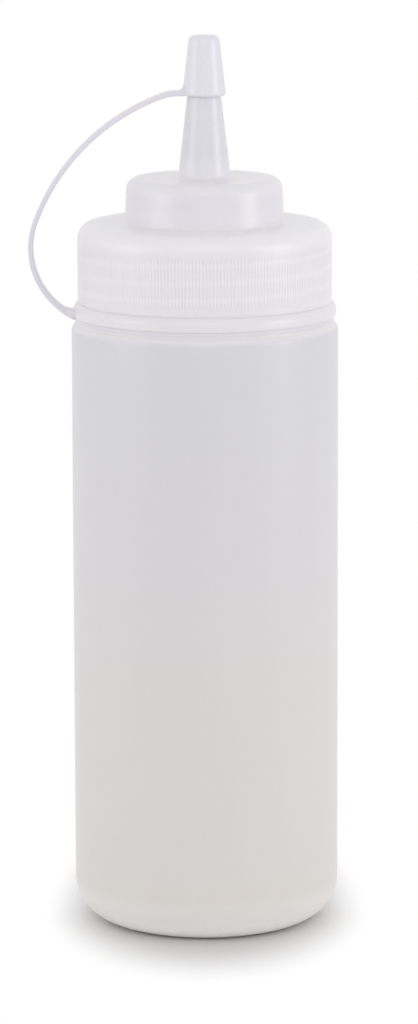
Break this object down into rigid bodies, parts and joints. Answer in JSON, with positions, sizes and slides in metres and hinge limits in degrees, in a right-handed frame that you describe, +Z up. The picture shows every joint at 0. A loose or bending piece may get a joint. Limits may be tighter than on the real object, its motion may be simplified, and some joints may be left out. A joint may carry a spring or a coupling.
{
  "type": "squeeze bottle",
  "caption": "Empty soft translucent squeeze bottle for sauce, with a screw cap, a tapered spout and a tip cap tethered by a moulded strap.",
  "frame": {"origin": "on the bottle's axis, in the plane of the ring that it stands on", "axes": "+Z up along the bottle's axis; the strap of the tip cap loops out towards -X"},
  "size_m": [0.0812, 0.07, 0.2353],
  "materials": {
    "bottle_wall": "milky translucent soft polyethylene, satin",
    "cap_wall": "milky translucent polyethylene, finely ribbed skirt, satin",
    "tether": "milky translucent polyethylene, smooth, satin"
  },
  "bodies": {
    "root": {"bottle": "bottle_wall", "screw_cap": "cap_wall", "tether_cap": "tether"}
  },
  "joints": []
}
